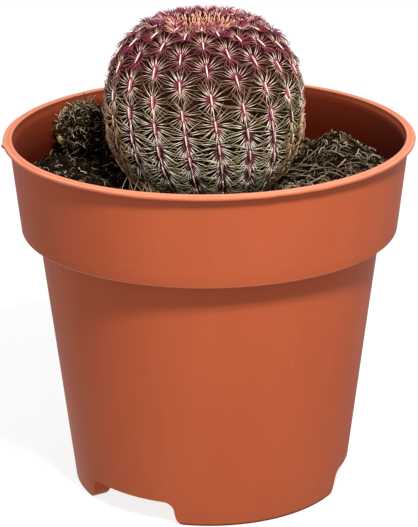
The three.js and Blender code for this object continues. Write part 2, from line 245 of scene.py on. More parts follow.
def outline_at(arc):
    """Radius and height of the cactus at an arc length from its crown"""
    after = min(len(OUTLINE) - 1, max(1, bisect.bisect_right(OUTLINE_ARCS, arc)))
    (arc_a, r_a, z_a), (arc_b, r_b, z_b) = OUTLINE[after - 1:after + 1]
    share = min(1, max(0, (arc - arc_a) / (arc_b - arc_a)))
    return r_a + (r_b - r_a) * share, z_a + (z_b - z_a) * share


def underside_of_cactus(away):
    """Height of the cactus's lower half at a distance from its axis"""
    if away >= BODY_RADIUS:
        return BODY_MIDDLE
    rise = (1 - (away / BODY_RADIUS) ** BASE_SQUARENESS) ** (1 / BASE_SQUARENESS)
    return BODY_MIDDLE - BODY_HALF_HEIGHT * rise


def rib_direction(rib, arc):
    return FIRST_RIB_DIRECTION + 360 / RIBS * rib + RIB_LEAN * arc


def on_cactus(direction, r, z):
    x, y = round_z(direction, r)
    return Vector((CACTUS_X + x, y, z))


def areole_arcs(rib):
    """Arc lengths of a rib's areoles from the crown down"""
    arcs = []
    order = (rib * AREOLE_SHIFT) % 1
    while True:
        arc = AREOLE_REACH * (1 - math.exp(-((order / AREOLE_SCALE) ** AREOLE_POWER)))
        if arc > LAST_AREOLE_ARC:
            return arcs
        if arc > FIRST_AREOLE_ARC:
            arcs.append(arc)
        order += 1


def areole_frame(direction, arc):
    """Root, up along the rib, across it and out of the body at a place on a crest"""
    r, z = outline_at(arc)
    root = on_cactus(direction, r, z)
    above_r, above_z = outline_at(max(0.0, arc - 0.5))
    up = (on_cactus(direction - RIB_LEAN * 0.5, above_r, above_z) - root).normalized()
    across = (on_cactus(direction + 0.5, r, z) - root).normalized()
    out = across.cross(up).normalized()
    return root, up, across, out


# Making meshes


def link_object(name, data):
    thing = bpy.data.objects.new(name, data)
    bpy.context.scene.collection.objects.link(thing)
    return thing


def finish_piece(name, mesh, material, node=None, sharp=None):
    """Link a mesh given in millimetres as a piece of the object"""
    mesh.name = name
    mesh.transform(Matrix.Scale(MM, 4))
    mesh.materials.clear()
    mesh.materials.append(material)
    mesh.shade_smooth()
    if sharp is not None:
        mesh.set_sharp_from_angle(angle=math.radians(sharp))
    piece = link_object(name, mesh)
    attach(piece, "root")
    if node:
        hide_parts(node)


def mesh_from(bm):
    mesh = bpy.data.meshes.new("shape")
    bm.to_mesh(mesh)
    bm.free()
    return mesh


def spin_profile(bm, steps, angle=360.0, start=0.0):
    """Turn the wire or face in a bmesh round the Z axis"""
    turn = Matrix.Rotation(math.radians(start), 3, "Z")
    bmesh.ops.rotate(bm, verts=bm.verts[:], cent=(0, 0, 0), matrix=turn)
    geometry = bm.faces[:] + bm.edges[:] + bm.verts[:]
    bmesh.ops.spin(bm, geom=geometry, cent=(0, 0, 0), axis=(0, 0, 1), dvec=(0, 0, 0),
                   angle=math.radians(angle), steps=steps, use_merge=angle >= 360, use_duplicate=False)
    bmesh.ops.remove_doubles(bm, verts=bm.verts[:], dist=1e-4)
    bmesh.ops.recalc_face_normals(bm, faces=bm.faces[:])


def round_corners(bm, verts, rounding, segments):
    bmesh.ops.bevel(bm, geom=verts, offset=rounding, offset_type="OFFSET", segments=segments,
                    profile=0.5, affect="VERTICES", material=-1)


def profile_wire(bm, corners):
    """A wire through (radius, height, rounding) corners in the XZ plane, its corners rounded"""
    verts = [bm.verts.new((r, 0, z)) for r, z, _ in corners]
    for a, b in zip(verts, verts[1:]):
        bm.edges.new((a, b))
    for vert, (_, _, rounding) in zip(verts, corners):
        if rounding:
            round_corners(bm, [vert], rounding, 5)


def cut_away(mesh, cutter_mesh):
    """The mesh with the cutter's volume taken out of it"""
    target = link_object("target", mesh)
    cutter = link_object("cutter", cutter_mesh)
    modifier = target.modifiers.new("cut", "BOOLEAN")
    modifier.operation = "DIFFERENCE"
    modifier.solver = "EXACT"
    modifier.object = cutter
    bpy.context.view_layer.update()
    depsgraph = bpy.context.evaluated_depsgraph_get()
    result = bpy.data.meshes.new_from_object(target.evaluated_get(depsgraph))
    for thing in (target, cutter):
        used = thing.data
        bpy.data.objects.remove(thing)
        bpy.data.meshes.remove(used)
    return result


def strand_template(sides, segments):
    """A unit strand along Z as a mesh, with its UV strip: U across each side and V along it"""
    bm = bmesh.new()
    bmesh.ops.create_cone(bm, cap_ends=True, segments=sides, radius1=1, radius2=0.5, depth=1,
                          matrix=Matrix.Translation((0, 0, 0.5)))
    long_edges = [e for e in bm.edges if abs(e.verts[0].co.z - e.verts[1].co.z) > 0.5]
    bmesh.ops.subdivide_edges(bm, edges=long_edges, cuts=segments - 1, use_grid_fill=True)
    strip = bm.loops.layers.uv.new(STRAND_UV)
    for face in bm.faces:
        centre = face.calc_center_median()
        cap = abs(face.normal.z) > 0.9
        for loop in face.loops:
            co = loop.vert.co
            if cap:
                loop[strip].uv = (float(co.x > 0), min(1.0, max(0.0, co.z + 0.02 * co.y)))
            else:
                loop[strip].uv = (float(centre.x * co.y - centre.y * co.x > 0), co.z)
    return mesh_from(bm)


class Strands:
    """Strands laid into one mesh, in small batches because a large bmesh is slow to add to"""

    def __init__(self, sides, steps):
        self.template = strand_template(sides, steps)
        self.steps = steps
        self.count = 0
        self.batches = []

    def lay(self, points, widths, tone, span=(0, 1)):
        """Add a strand through the points, as wide as the widths there, with one tone of its ramps,
        read over the given span of their length"""
        if self.count % 40 == 0:
            self.batches.append(bmesh.new())
        self.count += 1
        bm = self.batches[-1]
        first_vert = len(bm.verts)
        first_face = len(bm.faces)
        bm.from_mesh(self.template)
        bm.verts.ensure_lookup_table()
        bm.faces.ensure_lookup_table()
        rings = []
        side = None
        for i, point in enumerate(points):
            along = (points[min(self.steps, i + 1)] - points[max(0, i - 1)]).normalized()
            side = along.orthogonal() if side is None else side
            side = (side - along * side.dot(along)).normalized()
            rings.append((point, side, along.cross(side), widths[i] / 2))
        for vert in bm.verts[first_vert:]:
            co = vert.co
            point, side, other, radius = rings[round(co.z * self.steps)]
            vert.co = point + (side * co.x + other * co.y) * (radius / math.hypot(co.x, co.y))
        strip = bm.loops.layers.uv[STRAND_UV]
        for face in bm.faces[first_face:]:
            for loop in face.loops:
                uv = loop[strip].uv
                uv.x = tone + (uv.x - 0.5) * TONE_WIDTH
                uv.y = span[0] + (span[1] - span[0]) * uv.y

    def finish(self, name, material):
        bpy.data.meshes.remove(self.template)
        finish_piece(name, gather(self.batches), material)


def gather(batches):
    """One mesh out of an iterable of bmeshes, each of which is freed"""
    whole = bmesh.new()
    for batch in batches:
        part = mesh_from(batch)
        whole.from_mesh(part)
        bpy.data.meshes.remove(part)
    return mesh_from(whole)


def crumb_batch(places, seed):
    """Small angular grains at (point, size) places, in one bmesh"""
    rng = random.Random(seed)
    bm = bmesh.new()
    for point, size in places:
        made = bmesh.ops.create_icosphere(bm, subdivisions=1, radius=size / 2,
                                          matrix=Matrix.Translation(point))
        stretch = Vector([rng.uniform(0.65, 1.3) for _ in range(3)])
        for vert in made["verts"]:
            vert.co = point + (vert.co - point) * stretch * rng.uniform(0.75, 1.2)
    return bm


# Materials


def metres(*sizes):
    return [size * MM for size in sizes]


def per_mm(size):
    """Noise scale for features of a size in millimetres, on coordinates in metres"""
    return 1 / (size * MM)


def fill_inputs(tree, pairs):
    """Link or set the sockets of (socket, value) pairs; None leaves a socket as it is"""
    for socket, value in pairs:
        if isinstance(value, bpy.types.NodeSocket):
            tree.links.new(value, socket)
        elif value is not None:
            socket.default_value = value


def add_node(tree, kind, *values, stops=None, out=None, **settings):
    """Add a node with its settings and ramp stops, and give its inputs in use the values in their
    order. Returns the named output, or else the first one in use"""
    made = tree.nodes.new("ShaderNode" + kind)
    for name, value in settings.items():
        setattr(made, name, value)
    if stops:
        elements = made.color_ramp.elements
        while len(elements) < len(stops):
            elements.new(0.5)
        for element, (position, colour) in zip(elements, stops):
            element.position = position
            element.color = linear(colour)
    fill_inputs(tree, zip([socket for socket in made.inputs if socket.enabled], values))
    return made.outputs[out] if out else next((s for s in made.outputs if s.enabled), None)


def new_material(name):
    """A material with an empty node tree, and the function that adds a node to it"""
    material = bpy.data.materials.new(name)
    material.use_nodes = True
    material.node_tree.nodes.clear()
    return material, functools.partial(add_node, material.node_tree)


def finish_material(material, colour, roughness, specular=None, normal=None, more=None):
    """Give the material its shader, with plain values or sockets for its inputs, and its output"""
    tree = material.node_tree
    shader = tree.nodes.new("ShaderNodeBsdfPrincipled")
    inputs = {"Base Color": colour, "Roughness": roughness, "Specular IOR Level": specular, "Normal": normal}
    inputs.update(more or {})
    fill_inputs(tree, [(shader.inputs[name], value) for name, value in inputs.items()])
    add_node(tree, "OutputMaterial", shader.outputs["BSDF"])
    return material


def moulded_polypropylene(colour):
    """Injection-moulded polypropylene, terracotta pigment: an even satin sheen, a faint mottle where
    the pigment flowed, an orange-peel skin that softens the highlight, painted highlights on the lip
    and along the band's lower edge, painted contact shade in a dark line along the feet's bottom edge,
    and inside the band a brown stain from the wet peat that fades upwards, with painted shade that
    makes it darker on the right towards the lip"""
    material, add = new_material("moulded_polypropylene")
    place = add("TexCoord", out="Object")
    x, y, z = [add("SeparateXYZ", place, out=axis) for axis in "XYZ"]
    radius = add("VectorMath", add("CombineXYZ", x, y), operation="LENGTH")
    upright = add("Mapping", place, None, None, (1, 1, 0.35))
    flow = add("TexNoise", upright, per_mm(26), 3.0, 0.6)
    specks = add("TexNoise", place, per_mm(1.3), 2.0)
    untapered = add("Math", z, -BAND_TAPER, radius, operation="MULTIPLY_ADD")
    middle = band_radius(0) - WALL / 2  # of the band's wall, once its taper is taken off
    # A brown stain from the wet peat inside the band, which also carries painted shade
    peat_stain_and_shade = add("MapRange", untapered, *metres(middle - 0.2, middle + 0.2), 1.0, 0.0)
    # Painted shade: near the lip the stain is stronger on the right of the wall than on the left, darkening
    # the inner right wall, which the key light misses
    lip_stain_and_side_shade = add("MapRange", x, *metres(-35, 30), 0.62, 0.84)
    for share in (
        add("MapRange", z, *metres(LEDGE_TOP - 0.3, LEDGE_TOP)),
        add("MapRange", z, *metres(POT_HEIGHT - 11, POT_HEIGHT), 1.0, lip_stain_and_side_shade),
    ):
        peat_stain_and_shade = add("Math", peat_stain_and_shade, share, operation="MULTIPLY")
    # Painted highlight: a pale line along the band's lower edge
    from_edge = add("Math", z, (BAND_BOTTOM + 0.3) * MM, operation="SUBTRACT")
    from_edge = add("Math", from_edge, operation="ABSOLUTE")
    edge_line = add("MapRange", from_edge, *metres(0.1, 0.4), 0.4, 0.0)
    on_band = add("MapRange", radius, *metres(BAND_BOTTOM_RADIUS - 0.6, BAND_BOTTOM_RADIUS - 0.3))
    band_edge_highlight = add("Math", edge_line, on_band, operation="MULTIPLY")
    # Painted highlights: the lip's top and its outer face are paler
    lip_top_highlight = add("MapRange", z, *metres(POT_HEIGHT - 0.4, POT_HEIGHT - 0.2), 0.0, 0.5)
    lip_edge_highlight = add("MapRange", radius, *metres(LIP_RADIUS - 0.6, LIP_RADIUS - 0.3), 0.0, 0.2)
    for share, tint in (
        (add("MapRange", flow, 0.35, 0.75, 0.0, 0.32), "#9f4527"),
        (add("MapRange", specks, 0.66, 0.84, 0.0, 0.14), "#d99a80"),
        (peat_stain_and_shade, "#4a0e00"),
        (lip_top_highlight, "#f0a486"),
        (lip_edge_highlight, "#f0a486"),
        (band_edge_highlight, "#f09a78"),
        # Painted contact shade: a dark line along the feet's bottom edge
        (add("MapRange", z, *metres(0.3, 0.9), 0.9, 0.0), "#2e1006"),
    ):
        colour = add("Mix", share, colour, linear(tint), data_type="RGBA")
    smooth = add("MapRange", flow, 0.3, 0.7, 0.36, 0.5)
    dull = add("MapRange", peat_stain_and_shade, None, None, smooth, 0.85)
    peel = add("TexNoise", place, per_mm(0.9), 1.0)
    bump = add("Bump", 0.25, 0.02 * MM, None, peel)
    return finish_material(material, colour, dull, 0.1, bump, {"IOR": 1.49})


def peat(colour):
    """Sphagnum peat, dug and sieved: near-black crumbs with brown and olive flecks and no gloss"""
    material, add = new_material("sieved_peat")
    place = add("TexCoord", out="Object")
    patches = add("TexNoise", place, per_mm(3.2), 4.0, 0.7)
    flecks = add("TexNoise", place, per_mm(0.7), 3.0, 0.7)
    brown = add("ValToRGB", patches, stops=[
        (0.25, "#040201"), (0.48, "#0f0805"), (0.62, "#23150d"), (0.8, "#3a2a1c"),
    ])
    pale = add("MapRange", flecks, 0.58, 0.78, 0.0, 0.6)
    flecked = add("Mix", pale, brown, linear("#5e4e3e"), data_type="RGBA")
    tinted = add("Mix", 0.3, flecked, colour, data_type="RGBA")
    bump = add("Bump", 0.7, 0.4 * MM, None, flecks)
    return finish_material(material, tinted, 0.93, 0.05, bump)


def strand_colours(add, roots, *further):
    """Colour along a strand: the ramp of its root, and further ones with the stretch of its length
    where each takes over. U reads the ramps. Also returns V, from the root to the tip"""
    strip = add("UVMap", uv_map=STRAND_UV)
    across, along = [add("SeparateXYZ", strip, out=axis) for axis in "XY"]
    colour = add("ValToRGB", across, stops=roots)
    for start, end, stops in further:
        ramp = add("ValToRGB", across, stops=stops)
        share = add("MapRange", along, start, end, interpolation_type="SMOOTHSTEP")
        colour = add("Mix", share, colour, ramp, data_type="RGBA")
    return colour, along


def spine_sheath(name):
    """Cactus spine, grown and hardened like horn: a dark foot, which also paints the shade where the spine
    leaves the areole, a rose root and a straw-white tip, with a soft gloss along its length. U runs from
    the crown's young spines to the oldest"""
    material, add = new_material(name)
    # The stops at 0.97 are the paler tan of the low left flank: painted light against the shade there
    colour, along = strand_colours(add, [
        (0.03, "#3a0c06"), (0.07, "#460c1c"), (0.11, "#2c0612"), (0.15, "#33081a"), (0.3, "#560e26"),
        (0.42, "#984254"), (0.5, "#b05c6c"), (0.62, "#723c3e"), (0.74, "#4a2c20"), (0.9, "#966042"),
        (0.97, "#bc8058"),
    ], (0.22, 0.38, [
        (0.03, "#8f4022"), (0.07, "#a04c62"), (0.11, "#561026"), (0.15, "#6e1830"), (0.3, "#ba8a84"),
        (0.42, "#e2bfb4"), (0.5, "#fbe4d6"), (0.62, "#fff8ea"), (0.74, "#b8ae8e"), (0.88, "#e4b892"),
        (0.97, "#ffe8cc"),
    ]), (0.44, 0.68, [
        (0.03, "#fabc9c"), (0.07, "#ecbcbc"), (0.11, "#701c38"), (0.15, "#a03a5a"), (0.3, "#7e4c4c"),
        (0.42, "#8e6c58"), (0.5, "#a2876c"), (0.62, "#bcb08e"), (0.74, "#787052"), (0.88, "#b68660"),
        (0.97, "#ffd8ae"),
    ]))
    # Painted shade as well as the foot's own colour: the first part of each spine is mixed towards near-black
    foot = add("MapRange", along, 0.03, 0.15, 0.95, 0.0, interpolation_type="SMOOTHSTEP")
    colour = add("Mix", foot, colour, linear("#2c0a10"), data_type="RGBA")
    return finish_material(material, colour, 0.42, 0.1, more={"IOR": 1.5})


def peat_fibre():
    """Sedge and moss fibres in the peat: dull strands from near-black through brown to pale straw"""
    material, add = new_material("peat_fibre")
    colour, _ = strand_colours(add, [
        (0.03, "#100a07"), (0.25, "#271910"), (0.45, "#453425"), (0.65, "#6a5745"), (0.85, "#94806a"),
        (0.97, "#b9a48c"),
    ], (0.1, 0.9, [
        (0.03, "#1a110b"), (0.25, "#342719"), (0.45, "#574934"), (0.65, "#80725a"), (0.85, "#aa9b7e"),
        (0.97, "#d2c2a2"),
    ]))
    return finish_material(material, colour, 0.75, 0.08)


def dry_moss():
    """A pinch of dry moss in the peat: matt, narrow, yellow-green leaves in a tuft"""
    material, add = new_material("dry_moss")
    leaves = add("TexNoise", add("TexCoord", out="Object"), per_mm(0.6), 2.0)
    colour = add("ValToRGB", leaves, stops=[(0.35, "#5c5020"), (0.55, "#a08f4c"), (0.7, "#cdbd80")])
    return finish_material(material, colour, 0.9, 0.1)


def cactus_skin(colour):
    """Living cactus skin with its waxy bloom: deep green with painted shade darkening the furrows, with paler
    grey-green patches on the crests, purple-brown where it is young, and a faint satin sheen"""
    material, add = new_material("waxy_cactus_skin")
    place = add("TexCoord", out="Object")
    crest = add("Attribute", attribute_name="crest", out="Fac")
    height = add("SeparateXYZ", place, out="Z")
    patches = add("TexNoise", place, per_mm(4.5), 4.0, 0.6)
    pores = add("TexNoise", place, per_mm(0.35), 2.0)
    # Painted shade: where the crest share is low, in the furrows, the skin is mixed towards near-black brown
    colour = add("Mix", crest, linear("#180a04"), colour, data_type="RGBA")
    for share, tint in (
        (add("MapRange", patches, 0.5, 0.72, 0.0, 0.6), "#3c4429"),
        (add("MapRange", height, *metres(102, 117), 0.0, 0.95), "#2c0c08"),
    ):
        colour = add("Mix", share, colour, linear(tint), data_type="RGBA")
    bump = add("Bump", 0.3, 0.06 * MM, None, pores)
    return finish_material(material, colour, 0.6, 0.06, bump, {
        "Subsurface Weight": 0.08, "Subsurface Radius": metres(0.6, 1.0, 0.4),
    })


def areole_wool():
    """Woolly felt of an areole: matt, off-white with a warm tint, its nap too fine to draw"""
    material, add = new_material("areole_wool")
    nap = add("TexNoise", add("TexCoord", out="Object"), per_mm(0.4), 3.0)
    colour = add("ValToRGB", nap, stops=[(0.3, "#d8a99c"), (0.5, "#f4d5c8"), (0.72, "#fff0e6")])
    bump = add("Bump", 0.6, 0.1 * MM, None, nap)
    return finish_material(material, colour, 0.9, None, bump, {"Sheen Weight": 0.3})


def studio_card(colour, glow):
    """Matt opal card of a light table: plain and pale, with only a faint shadow on it"""
    material, _ = new_material("matt_opal_card")
    return finish_material(material, colour, 0.9, 0.1, more={
        "Emission Color": linear("#ffffff"), "Emission Strength": glow,
    })


# Settings

COLOUR = {"subtype": "COLOR", "size": 4, "min": 0, "max": 1}
SIZE = {"min": 0, "unit": "LENGTH"}


class CactusPotSettings(bpy.types.PropertyGroup):
    colour: FloatVectorProperty(
        name="Plastic", description="Pigment of the pot", default=linear("#b95b3a"), **COLOUR)
    sides: IntProperty(name="Sides", description="Steps round the pot", default=192, min=24, max=360)
    waver: FloatProperty(
        name="Waver", description="How far the thin lip strays from a true circle", default=0.2 * MM, **SIZE)


class CactusSoilSettings(bpy.types.PropertyGroup):
    colour: FloatVectorProperty(
        name="Peat", description="Tint of the peat", default=linear("#180d07"), **COLOUR)
    level: FloatProperty(
        name="Level", description="Height of the soil between its mounds", default=SOIL_LEVEL * MM, **SIZE)
    roughness: FloatProperty(
        name="Roughness", description="Depth of the crumbs on the surface", default=1.5 * MM, **SIZE)
    grains: IntProperty(name="Grains", description="Loose grains on the soil", default=900, min=0)
    fibres: IntProperty(name="Fibres", description="Curled fibres on the soil", default=4700, min=0)
    straws: IntProperty(name="Straws", description="Long pale straws at the front right", default=42, min=0)
    rootlets: IntProperty(name="Rootlets", description="Pale strands at the cactus's foot", default=16, min=0)
    clump_fibres: IntProperty(
        name="Clump fibres", description="Hooked fibres on the clump", default=1150, min=0)


class CactusPlantSettings(bpy.types.PropertyGroup):
    skin: FloatVectorProperty(
        name="Skin", description="Green of the crests", default=linear("#211a0b"), **COLOUR)
    spine_length: FloatProperty(
        name="Spine length", description="Length of the longest spines beside an areole",
        default=6.6 * MM, **SIZE)
    spine_width: FloatProperty(
        name="Spine width", description="Thickness at the foot of a spine", default=0.26 * MM, **SIZE)
    spines: IntProperty(name="Spines", description="Spines in each areole", default=26, min=2)
    crown_spines: IntProperty(
        name="Crown spines", description="Young spines in the tuft", default=420, min=0)
    crown_length: FloatProperty(
        name="Crown spine length", description="Length of the young spines", default=1.9 * MM, **SIZE)


class CactusStageSettings(bpy.types.PropertyGroup):
    card: FloatVectorProperty(
        name="Card", description="Colour of the floor", default=linear("#8c8c8c"), **COLOUR)
    card_glow: FloatProperty(
        name="Card glow", description="How bright the floor is by itself, as a light table is",
        default=0.82, min=0)
    key: FloatProperty(name="Key light", description="Power of the large soft light", default=3.1, min=0)
    fill: FloatProperty(name="Fill", description="Strength of the light all round", default=0.58, min=0)
    camera_distance: FloatProperty(
        name="Camera distance", description="From the camera to the pot's axis, level",
        default=0.5832, **SIZE)
    camera_height: FloatProperty(
        name="Camera height", description="Height of the camera above the floor", default=0.27144, **SIZE)
    camera_tilt: FloatProperty(
        name="Camera tilt", description="Camera's angle from straight down",
        default=math.radians(69.924), subtype="ANGLE")
    camera_roll: FloatProperty(
        name="Camera roll", description="How far the camera leans over to its side",
        default=math.radians(-0.344), subtype="ANGLE")
    lens: FloatProperty(name="Lens", description="Focal length in millimetres", default=162.6, min=10)


# Pot


class CACTUS_OT_nursery_pot(bpy.types.Operator):
    """Turn the pot's wall, and cut the notches, the feet's troughs and the drain holes out of it"""
    bl_idname = "cactus.nursery_pot"
    bl_label = "Nursery pot"

    def execute(self, context):
        settings = context.scene.cactus_pot
        lip_bottom = POT_HEIGHT - LIP_HEIGHT
        lip_inner = LIP_RADIUS - LIP_WIDTH
        bm = bmesh.new()
        # Radius, height and rounding of each corner, down the inside, over the lip and back below
        profile_wire(bm, [
            (0, FLOOR_TOP, 0),
            (inner_radius(FLOOR_TOP), FLOOR_TOP, 1.2),
            (inner_radius(LEDGE_TOP), LEDGE_TOP, 1.0),
            (inner_radius(LEDGE_TOP + 0.1), LEDGE_TOP, 0.5),
            (inner_radius(lip_bottom - WALL), lip_bottom - WALL, 0.4),
            (lip_inner, lip_bottom, 0.4),
            (lip_inner, POT_HEIGHT, 0.24),
            (lip_inner + 0.75, POT_HEIGHT, 0.2),
            (lip_inner + 1.0, POT_HEIGHT - 0.28, 0.12),
            (lip_inner + 1.3, POT_HEIGHT - 0.24, 0.0),
            (LIP_RADIUS, POT_HEIGHT - 0.1, 0.55),
            (LIP_RADIUS, lip_bottom, 0.5),
            (band_radius(lip_bottom), lip_bottom, 0.35),
            (BAND_BOTTOM_RADIUS, BAND_BOTTOM, 0.7),
            (body_radius(BAND_BOTTOM), BAND_BOTTOM, 1.0),
            (FOOT_RADIUS, 0, 0.5),
            (FOOT_INNER_RADIUS + FOOT_SLANT, 0, 0.8),
            (FOOT_INNER_RADIUS, FLOOR_UNDERSIDE, 0.6),
            (0, FLOOR_UNDERSIDE, 0),
        ])
        long_edges = [e for e in bm.edges if e.calc_length() > 12 and e.verts[0].co.x > 30]
        bmesh.ops.subdivide_edges(bm, edges=long_edges, cuts=5)
        spin_profile(bm, settings.sides)
        self.let_lip_waver(bm, settings.waver / MM)
        mesh = cut_away(mesh_from(bm), self.cutters())
        finish_piece("nursery_pot", mesh, moulded_polypropylene(settings.colour),
                     node="pot", sharp=38)
        return {"FINISHED"}

    @staticmethod
    def let_lip_waver(bm, waver):
        """Bend the wall out of round, more towards the top, and nick the lip"""
        flash_x, flash_y = round_z(FLASH_DIRECTION, LIP_RADIUS)
        for vert in bm.verts:
            x, y, z = vert.co
            r = math.hypot(x, y)
            if z < TRUE_HEIGHT:
                continue
            angle = math.atan2(y, x)
            stray = math.sin(2 * angle + 0.7) + 0.5 * math.sin(3 * angle + 2.1)
            grow = waver * stray * smoothstep(z, TRUE_HEIGHT, POT_HEIGHT)
            if r > LIP_RADIUS - 1.2 and z > POT_HEIGHT - LIP_HEIGHT - 0.5:
                nick = noise.noise(Vector((x / 3.5, y / 3.5, 0.5)))
                flash = math.exp(-((x - flash_x) ** 2 + (y - flash_y) ** 2) / FLASH_WIDTH ** 2)
                grow += 0.14 * nick + FLASH_DEPTH * flash
                vert.co.z += 0.1 * noise.noise(Vector((x / 5, y / 5, 4.5)))
            vert.co.x *= (r + grow) / r
            vert.co.y *= (r + grow) / r

    def cutters(self):
        """The drain holes in the floor, and the notches between the feet and the troughs in them"""
        drains = bmesh.new()
        places = [(0, 0)] + [round_z(direction, DRAIN_RING_RADIUS) for direction in NOTCH_DIRECTIONS]
        for x, y in places:
            middle = Matrix.Translation((x, y, FLOOR_UNDERSIDE + WALL / 2))
            bmesh.ops.create_cone(drains, cap_ends=True, segments=40, radius1=DRAIN_DIAMETER / 2,
                                  radius2=DRAIN_DIAMETER / 2, depth=3 * WALL, matrix=middle)
        cutters = [drains]
        for direction in NOTCH_DIRECTIONS:
            cutters += [self.notch_cutter(direction), self.trough_cutter(direction + 60)]
        return gather(cutters)

    @staticmethod
    def notch_cutter(direction):
        """The gap between two feet, with rounded corners, bent round the pot"""
        half = NOTCH_WIDTH / 2
        bm = bmesh.new()
        outline = [
            (-half - 4, -1), (half + 4, -1), (half + 4, 0), (half + 0.3, 0),
            (half - 0.7, FLOOR_UNDERSIDE), (0.7 - half, FLOOR_UNDERSIDE), (-half - 0.3, 0), (-half - 4, 0),
        ]
        verts = [bm.verts.new((x, 0, z)) for x, z in outline]
        bm.faces.new(verts)
        round_corners(bm, verts[3:7], NOTCH_CORNER, 7)
        near = FOOT_INNER_RADIUS - 3
        bmesh.ops.translate(bm, verts=bm.verts[:], vec=(0, near, 0))
        made = bmesh.ops.extrude_face_region(bm, geom=bm.faces[:])
        far = [item for item in made["geom"] if isinstance(item, bmesh.types.BMVert)]
        bmesh.ops.translate(bm, verts=far, vec=(0, LIP_RADIUS - near, 0))
        for vert in bm.verts:
            angle = math.radians(direction) + vert.co.x / FOOT_RADIUS
            radius = vert.co.y
            vert.co = Vector((radius * math.sin(angle), -radius * math.cos(angle), vert.co.z))
        bmesh.ops.recalc_face_normals(bm, faces=bm.faces[:])
        if bm.calc_volume(signed=True) < 0:
            bmesh.ops.reverse_faces(bm, faces=bm.faces[:])
        return bm

    @staticmethod
    def trough_cutter(direction):
        """The hollow in a foot, a wall thinner than the foot all round"""
        bm = bmesh.new()
        inner = FOOT_INNER_RADIUS + WALL
        low_inner = inner + FOOT_SLANT * (1 - WALL / FLOOR_UNDERSIDE)
        section = [
            (low_inner, WALL), (inner_radius(WALL), WALL), (inner_radius(FLOOR_TOP), FLOOR_TOP),
            (inner_radius(FLOOR_TOP), FLOOR_TOP + 1), (inner, FLOOR_TOP + 1), (inner, FLOOR_UNDERSIDE),
        ]
        bm.faces.new([bm.verts.new((r, 0, z)) for r, z in section])
        reach = 120 - math.degrees((NOTCH_WIDTH + 2 * WALL) / FOOT_RADIUS)
        spin_profile(bm, 24, angle=reach, start=direction - 90 - reach / 2)
        return bm


# Soil


def soil_top(x, y, settings):
    """Height of the soil with its crumbs, held under the cactus"""
    away = math.hypot(x - CACTUS_X, y)
    level = soil_level(x, y, settings.level / MM)
    rough = settings.roughness / MM * (crumbs(x, y) - 0.3)
    under = underside_of_cactus(away) - FIT
    return min(level + rough, under)


class CACTUS_OT_soil_bed(bpy.types.Operator):
    """Fill the pot with peat, mounded and crumbly on top, with a bowl where the cactus stands"""
    bl_idname = "cactus.soil_bed"
    bl_label = "Soil bed"

    def execute(self, context):
        settings = context.scene.cactus_soil
        level = settings.level / MM
        bm = bmesh.new()
        edge = inner_radius(level) - SOIL_GAP
        bottom = FLOOR_TOP + SOIL_GAP
        ledge = LEDGE_TOP + SOIL_GAP
        profile_wire(bm, [
            (0, bottom, 0),
            (inner_radius(FLOOR_TOP) - 1.2, bottom, 0),
            (inner_radius(FLOOR_TOP + 2) - SOIL_GAP, FLOOR_TOP + 2, 0),
            (inner_radius(LEDGE_TOP) - SOIL_GAP, ledge, 0),
            (inner_radius(ledge) - 0.4, ledge, 0),
            (edge, level, 0),
            (0, level, 0),
        ])
        top = [e for e in bm.edges if all(abs(v.co.z - level) < 1e-3 for v in e.verts)]
        bmesh.ops.subdivide_edges(bm, edges=top, cuts=SOIL_RINGS - 1)
        spin_profile(bm, SOIL_SIDES)
        for vert in bm.verts:
            x, y, z = vert.co
            if abs(z - level) > 1e-3:
                continue
            vert.co.z = soil_top(x, y, settings)
            if math.hypot(x - CACTUS_X, y) < ROOT_TOP:
                vert.co.z = min(vert.co.z, BODY_MIDDLE - BODY_HALF_HEIGHT - FIT)
            r = math.hypot(x, y)
            if r > edge - 0.01:
                reach = (inner_radius(vert.co.z) - SOIL_GAP) / r
                vert.co.x *= reach
                vert.co.y *= reach
        bmesh.ops.recalc_face_normals(bm, faces=bm.faces[:])
        finish_piece("soil_bed", mesh_from(bm), peat(settings.colour), node="potting_soil")
        return {"FINISHED"}


def bare_place(rng, settings, room):
    """A random place on the soil that the cactus and the wall leave free"""
    while True:
        radius = (inner_radius(settings.level / MM) - room) * math.sqrt(rng.random())
        x, y = round_z(rng.uniform(0, 360), radius)
        away = math.hypot(x - CACTUS_X, y)
        if soil_level(x, y, settings.level / MM) < underside_of_cactus(away) - 0.8:
            return x, y


class CACTUS_OT_soil_grains(bpy.types.Operator):
    """Strew loose grains of peat over the soil"""
    bl_idname = "cactus.soil_grains"
    bl_label = "Soil grains"

    def execute(self, context):
        settings = context.scene.cactus_soil
        rng = random.Random(21)
        places = []
        for _ in range(settings.grains):
            x, y = bare_place(rng, settings, 1.2)
            size = 0.6 + 1.7 * rng.random() ** 2.2
            places.append((Vector((x, y, soil_top(x, y, settings) + size * 0.2)), size))
        mesh = mesh_from(crumb_batch(places, 22))
        finish_piece("soil_grains", mesh, peat(settings.colour))
        return {"FINISHED"}


def curl_path(rng, start, heading, length, curl, height_at, arch):
    """Points of a fibre that wanders over a surface and arches off it"""
    x, y = start
    bend = rng.uniform(-curl, curl)
    step = length / FIBRE_STEPS
    limit = inner_radius(SOIL_AT_WALL) - 0.8
    points = []
    for share in FIBRE_SHARES:
        rise = arch * math.sin(math.pi * min(1.0, share * 1.15))
        points.append(Vector((x, y, height_at(x, y) + rise + 0.12)))
        heading += bend + rng.uniform(-0.3, 0.3) * curl
        x += step * math.cos(heading)
        y += step * math.sin(heading)
        held = min(1, limit / math.hypot(x, y))
        x *= held
        y *= held
        pushed = max(1, FOOT_OF_CACTUS / math.hypot(x - CACTUS_X, y))
        x = CACTUS_X + (x - CACTUS_X) * pushed
        y *= pushed
    return points


def fibre_widths(width):
    """Widths of a fibre that thins towards both ends"""
    return [width * (0.35 + 0.65 * math.sin(math.pi * (0.12 + 0.8 * share))) for share in FIBRE_SHARES]


